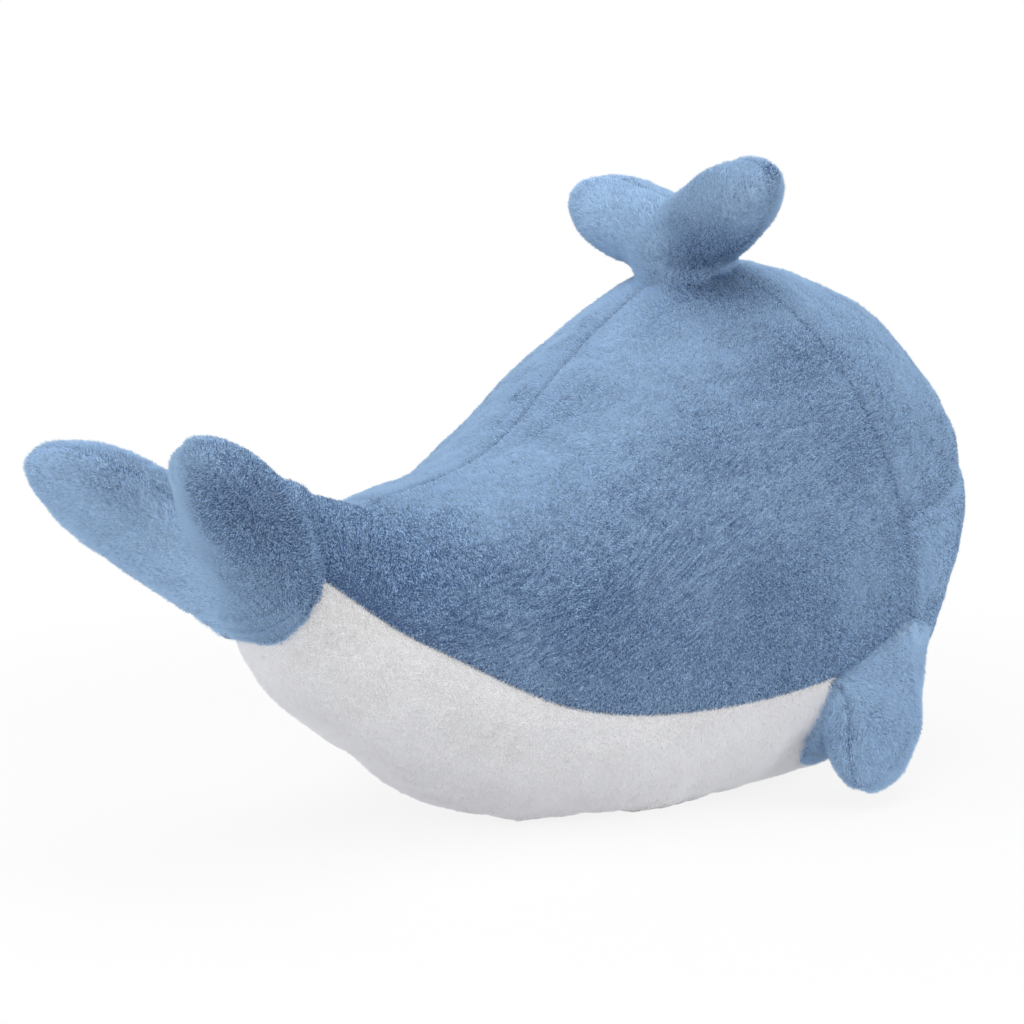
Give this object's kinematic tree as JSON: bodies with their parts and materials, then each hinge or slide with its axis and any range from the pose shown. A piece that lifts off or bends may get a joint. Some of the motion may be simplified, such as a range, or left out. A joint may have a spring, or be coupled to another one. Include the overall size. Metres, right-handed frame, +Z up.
{
  "type": "plush whale toy",
  "caption": "Soft stuffed whale toy with a plump body, pale pressed belly, upturned forked tail, forked spout and side fins that flex where they are sewn on.",
  "frame": {"origin": "on the floor at the middle of the pressed belly patch, under the body's spine", "axes": "+X towards the head, +Y to the whale's left, +Z up"},
  "size_m": [0.5932, 0.291, 0.3873],
  "materials": {
    "blue_plush": "short dense pile, matt, grey blue",
    "belly_plush": "short dense pile, matt, off-white",
    "fibre_filling": "loose polyester fibre",
    "eye_plastic": "polished",
    "washer_plastic": "as moulded"
  },
  "bodies": {
    "body": {"right_eye": "eye_plastic", "left_eye": "eye_plastic", "right_eye_washer": "washer_plastic", "left_eye_washer": "washer_plastic", "right_side_panel": "blue_plush", "left_side_panel": "blue_plush", "forehead_panel": "blue_plush", "face_panel": "blue_plush", "belly_panel": "belly_plush", "body_filling": "fibre_filling"},
    "fluke": {"fluke_lower_cover": "blue_plush", "fluke_upper_cover": "blue_plush", "fluke_filling": "fibre_filling"},
    "spout": {"spout_back_cover": "blue_plush", "spout_front_cover": "blue_plush", "spout_filling": "fibre_filling"},
    "right_fin": {"right_fin_outer_cover": "blue_plush", "right_fin_inner_cover": "blue_plush", "right_fin_filling": "fibre_filling"},
    "left_fin": {"left_fin_outer_cover": "blue_plush", "left_fin_inner_cover": "blue_plush", "left_fin_filling": "fibre_filling"}
  },
  "joints": [
    {"name": "fluke_flex", "type": "hinge", "parent": "body", "child": "fluke", "pos_m": [-0.226, 0, 0.164], "axis": [0, 1, 0], "range_deg": [-15, 15], "stiffness_Nm_per_rad": 1},
    {"name": "spout_flex", "type": "hinge", "parent": "body", "child": "spout", "pos_m": [0.06515, 0, 0.31502], "axis": [0, 1, 0], "range_deg": [-20, 20], "stiffness_Nm_per_rad": 0.4},
    {"name": "right_fin_flex", "type": "hinge", "parent": "body", "child": "right_fin", "pos_m": [0.11783, -0.12589, 0.09044], "axis": [-0.9768, -0.0768, -0.1998], "range_deg": [-10, 45], "stiffness_Nm_per_rad": 0.15},
    {"name": "left_fin_flex", "type": "hinge", "parent": "body", "child": "left_fin", "pos_m": [0.11783, 0.12589, 0.09044], "axis": [0.9768, -0.0768, 0.1998], "range_deg": [-10, 45], "stiffness_Nm_per_rad": 0.15}
  ]
}
